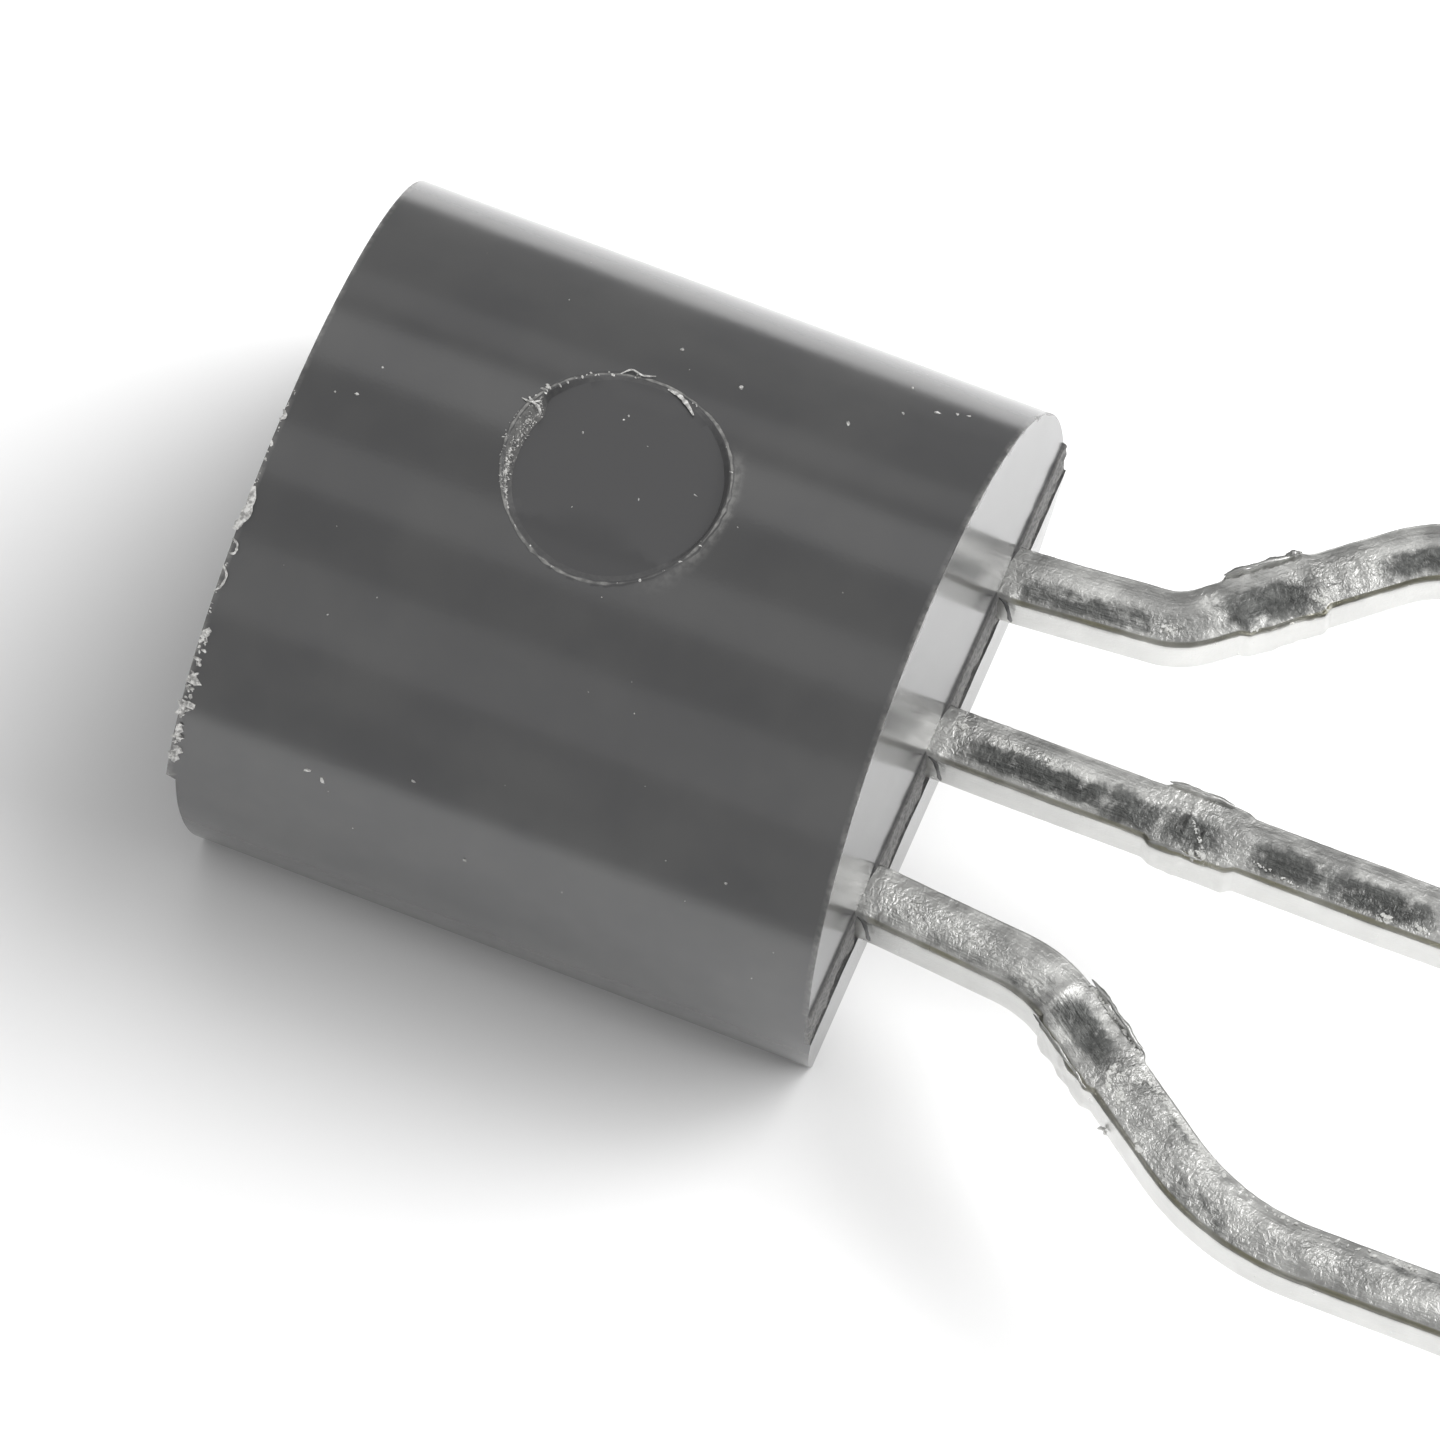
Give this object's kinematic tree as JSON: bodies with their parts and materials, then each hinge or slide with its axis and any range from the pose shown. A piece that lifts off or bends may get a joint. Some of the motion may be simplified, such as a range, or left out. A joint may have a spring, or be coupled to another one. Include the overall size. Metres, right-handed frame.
{
  "type": "shunt regulator",
  "caption": "Three-lead shunt regulator in a D-shaped moulded black epoxy package, with tin-plated leads whose outer pair is formed out to a wider pitch.",
  "frame": {"origin": "middle of the package's flat face, which it lies on", "axes": "+X across the leads from the reference lead to the cathode lead, +Y along the leads from the package to their tips, +Z from the flat face to the round side"},
  "size_m": [0.0056, 0.0186, 0.0034],
  "materials": {
    "epoxy": "satin moulded",
    "tinned_lead": "matte tin plating",
    "silicon": "polished",
    "die_attach": "silver-filled, matte",
    "gold_wire": "drawn"
  },
  "bodies": {
    "root": {"body": "epoxy", "lead_reference": "tinned_lead", "lead_anode": "tinned_lead", "lead_cathode": "tinned_lead", "die": "silicon", "die_attach": "die_attach", "bond_wire_reference": "gold_wire", "bond_wire_anode": "gold_wire", "bond_wire_cathode": "gold_wire"}
  },
  "joints": []
}
